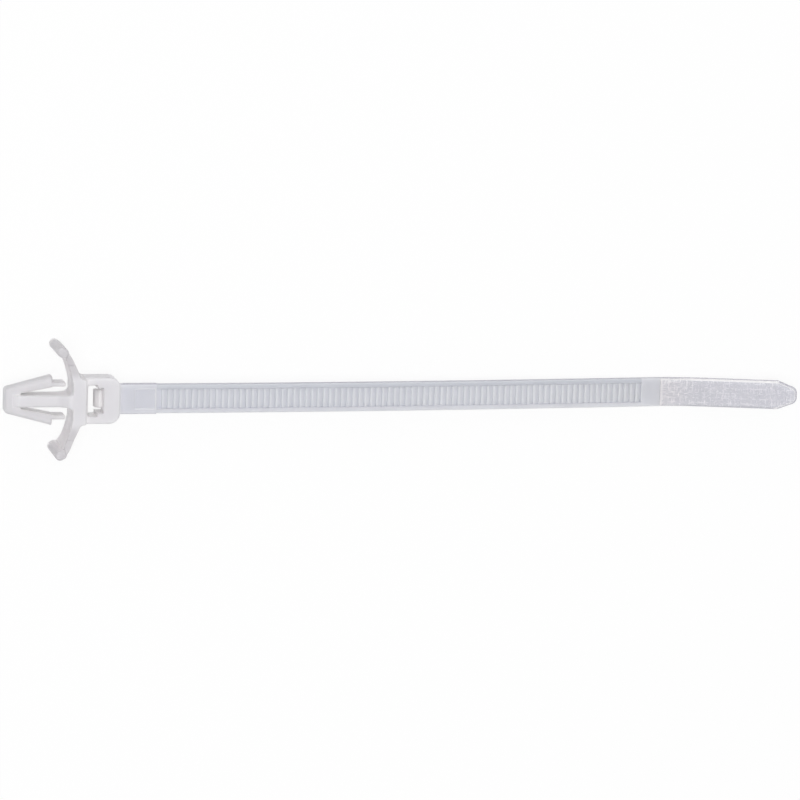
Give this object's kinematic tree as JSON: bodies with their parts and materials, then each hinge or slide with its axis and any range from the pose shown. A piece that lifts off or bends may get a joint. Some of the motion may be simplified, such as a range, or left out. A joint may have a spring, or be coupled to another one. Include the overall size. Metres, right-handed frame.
{
  "type": "cable tie with push-in mounting foot",
  "caption": "Natural nylon cable tie whose head carries a split arrowhead foot and two spring wings, for pushing into a round hole in a panel.",
  "frame": {"origin": "On the foot's axis, in the plane of the two barb shoulders.", "axes": "+X runs along the tie from the nose of the foot to the tail, +Y is across the strap, +Z is the toothed side."},
  "size_m": [0.134, 0.0186, 0.0102],
  "materials": {
    "nylon": "natural milky nylon, softly glossy as moulded, with a finely knurled tail"
  },
  "bodies": {
    "root": {"cable_tie": "nylon"}
  },
  "joints": []
}
